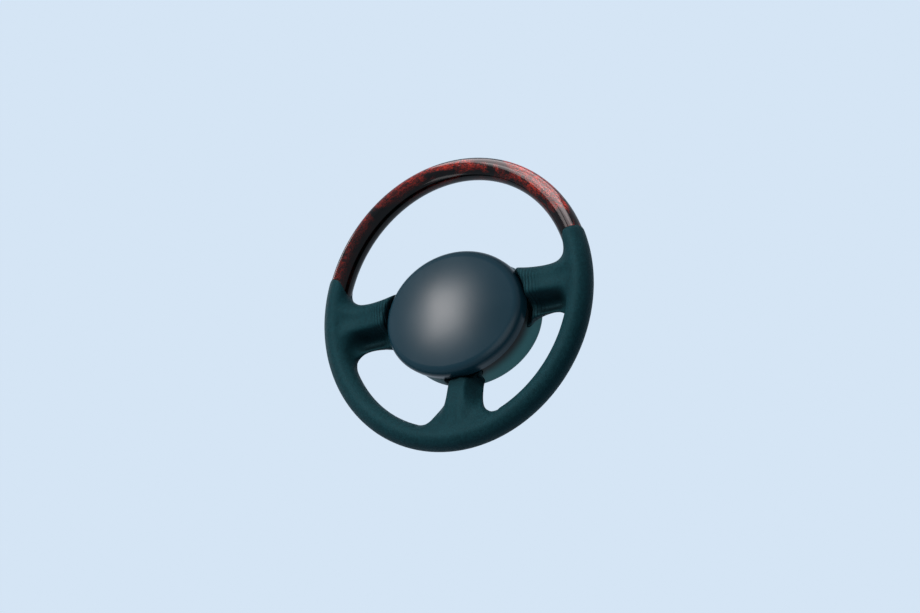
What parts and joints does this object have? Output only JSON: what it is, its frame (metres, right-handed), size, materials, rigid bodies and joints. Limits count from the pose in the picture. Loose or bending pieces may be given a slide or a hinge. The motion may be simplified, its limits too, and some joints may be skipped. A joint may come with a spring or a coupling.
{
  "type": "car steering wheel",
  "caption": "Round car steering wheel with a gloss wood arc over the top of the rim, leather lower rim and spokes, and a domed oval horn pad that presses in.",
  "frame": {"origin": "centre of the column bore at the rear face of the hub", "axes": "+X to the right and +Z to the top of the wheel as the driver sees it, -Y towards the driver, +Y down the column"},
  "size_m": [0.381, 0.088, 0.3795],
  "materials": {
    "cast_alloy": "as cast",
    "steel": "machined",
    "foam": "matt",
    "leather": "fine grain, satin",
    "wood": "gloss lacquer over dark red burl",
    "cover_plastic": "fine grain, matt",
    "screw_steel": "bright zinc",
    "nylon": "plain",
    "brass": "bright",
    "pad_skin": "smooth satin",
    "zinc_steel": "zinc plated",
    "cushion_cloth": "woven",
    "socket_plastic": "plain",
    "spring_steel": "drawn wire"
  },
  "bodies": {
    "wheel": {"armature": "cast_alloy", "hub_insert": "steel", "rim_foam": "foam", "leather_cover": "leather", "wood_front": "wood", "wood_rear": "wood", "rear_cover": "cover_plastic", "cover_screws": "screw_steel", "guide_bushes": "nylon", "contact_pillars": "nylon", "fixed_contacts": "brass"},
    "horn_pad": {"pad_cover": "pad_skin", "module_plate": "zinc_steel", "retainer_ring": "zinc_steel", "ring_studs": "screw_steel", "stud_nuts": "screw_steel", "cushion": "cushion_cloth", "inflator": "steel", "igniter_socket": "socket_plastic", "guide_pins": "screw_steel", "pin_clips": "spring_steel", "moving_contacts": "brass", "horn_springs": "spring_steel"}
  },
  "joints": [
    {"name": "horn_press", "type": "slide", "parent": "wheel", "child": "horn_pad", "axis": [0, 1, 0], "range_m": [0, 0.002], "stiffness_N_per_m": 12000, "springref_m": -0.003, "deforming": ["horn_springs"]}
  ]
}
